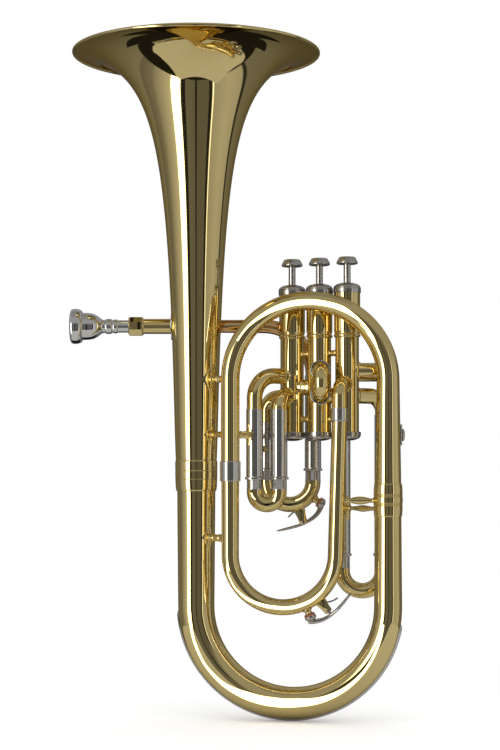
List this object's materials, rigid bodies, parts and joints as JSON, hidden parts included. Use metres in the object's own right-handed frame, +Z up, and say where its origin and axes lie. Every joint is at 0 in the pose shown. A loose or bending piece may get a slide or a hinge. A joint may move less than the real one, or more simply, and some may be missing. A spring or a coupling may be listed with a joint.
{
  "type": "alto horn",
  "caption": "Upright alto horn with flared bell, piston valves with finger buttons, tuning and valve slides, water keys and a removable cup mouthpiece.",
  "frame": {"origin": "lowest point of the guard on the bottom bow, where the horn is held up", "axes": "+Z up through the bell, +X from the mouthpiece side to the lyre side, -Y to the side that the second valve slide points to"},
  "size_m": [0.2757, 0.2032, 0.5471],
  "materials": {
    "lacquered_brass": "polished and clear lacquered",
    "nickel_silver": "polished nickel silver",
    "silver_plate": "bright silver plate",
    "spring_steel": "drawn wire"
  },
  "bodies": {
    "horn_body": {"bell": "lacquered_brass", "bell_ferrule": "lacquered_brass", "bottom_bow": "lacquered_brass", "bow_guard": "nickel_silver", "branch_ferrule": "lacquered_brass", "branch_and_arch": "lacquered_brass", "left_loop_ferrule": "nickel_silver", "inner_loop": "lacquered_brass", "right_loop_ferrule": "nickel_silver", "outlet_elbow": "lacquered_brass", "leadpipe": "lacquered_brass", "mouthpipe_receiver": "lacquered_brass", "leadpipe_flange": "lacquered_brass", "leadpipe_post": "lacquered_brass", "tuning_elbow": "lacquered_brass", "slide_1_elbow_left": "lacquered_brass", "slide_1_elbow_right": "lacquered_brass", "slide_3_elbow_left": "lacquered_brass", "slide_3_elbow_right": "lacquered_brass", "tuning_outer_left": "nickel_silver", "tuning_outer_right": "nickel_silver", "slide_1_outer_left": "nickel_silver", "slide_1_outer_right": "nickel_silver", "slide_3_outer_left": "nickel_silver", "slide_3_outer_right": "nickel_silver", "valve_casing_1": "lacquered_brass", "valve_casing_2": "lacquered_brass", "valve_casing_3": "lacquered_brass", "top_cap_1": "nickel_silver", "top_cap_2": "nickel_silver", "top_cap_3": "nickel_silver", "bottom_cap_1": "nickel_silver", "bottom_cap_2": "nickel_silver", "bottom_cap_3": "nickel_silver", "valve_spring_1": "spring_steel", "valve_spring_2": "spring_steel", "valve_spring_3": "spring_steel", "loop_key_spring": "spring_steel", "front_baluster": "lacquered_brass", "back_baluster": "lacquered_brass", "bell_post": "lacquered_brass", "bow_post": "lacquered_brass", "arch_post": "lacquered_brass", "slide_post": "lacquered_brass", "lyre_socket": "lacquered_brass"},
    "first_valve": {"piston_1": "nickel_silver", "finger_button_1": "nickel_silver"},
    "second_valve": {"piston_2": "nickel_silver", "finger_button_2": "nickel_silver"},
    "third_valve": {"piston_3": "nickel_silver", "finger_button_3": "nickel_silver"},
    "main_tuning_slide": {"tuning_slide": "lacquered_brass", "tuning_key_spring": "spring_steel"},
    "first_valve_slide": {"slide_1": "lacquered_brass"},
    "second_valve_slide": {"slide_2": "lacquered_brass"},
    "third_valve_slide": {"slide_3": "lacquered_brass"},
    "tuning_key": {"tuning_water_key": "nickel_silver"},
    "loop_key": {"loop_water_key": "nickel_silver"},
    "mouthpiece": {"mouthpiece": "silver_plate"},
    "lyre_thumbscrew": {"lyre_screw": "nickel_silver"}
  },
  "joints": [
    {"name": "press_valve_1", "type": "slide", "parent": "horn_body", "child": "first_valve", "axis": [0, 0, -1], "range_m": [0, 0.015], "stiffness_N_per_m": 100, "springref_m": -0.012, "deforming": ["valve_spring_1"]},
    {"name": "press_valve_2", "type": "slide", "parent": "horn_body", "child": "second_valve", "axis": [0, 0, -1], "range_m": [0, 0.015], "stiffness_N_per_m": 100, "springref_m": -0.012, "deforming": ["valve_spring_2"]},
    {"name": "press_valve_3", "type": "slide", "parent": "horn_body", "child": "third_valve", "axis": [0, 0, -1], "range_m": [0, 0.015], "stiffness_N_per_m": 100, "springref_m": -0.012, "deforming": ["valve_spring_3"]},
    {"name": "pull_tuning_slide", "type": "slide", "parent": "horn_body", "child": "main_tuning_slide", "axis": [0, 0, -1], "range_m": [0, 0.028]},
    {"name": "pull_slide_1", "type": "slide", "parent": "horn_body", "child": "first_valve_slide", "axis": [0, 0, -1], "range_m": [0, 0.04]},
    {"name": "pull_slide_2", "type": "slide", "parent": "horn_body", "child": "second_valve_slide", "axis": [0, -1, 0], "range_m": [0, 0.007]},
    {"name": "pull_slide_3", "type": "slide", "parent": "horn_body", "child": "third_valve_slide", "axis": [0, 0, -1], "range_m": [0, 0.08]},
    {"name": "open_tuning_key", "type": "hinge", "parent": "main_tuning_slide", "child": "tuning_key", "pos_m": [0.01104, 0.04, 0.16082], "axis": [0, 1, 0], "range_deg": [0, 15], "stiffness_Nm_per_rad": 0.02, "springref_deg": -28.65},
    {"name": "open_loop_key", "type": "hinge", "parent": "horn_body", "child": "loop_key", "pos_m": [0.02933, -0.01398, 0.09076], "axis": [0, -1, 0], "range_deg": [0, 15], "stiffness_Nm_per_rad": 0.02, "springref_deg": -28.65},
    {"name": "draw_mouthpiece", "type": "slide", "parent": "horn_body", "child": "mouthpiece", "axis": [-1, 0, 0], "range_m": [0, 0.017]},
    {"name": "turn_lyre_screw", "type": "hinge", "parent": "horn_body", "child": "lyre_thumbscrew", "pos_m": [0.08925, -0.01398, 0.2324], "axis": [1, 0, 0], "continuous": true}
  ]
}
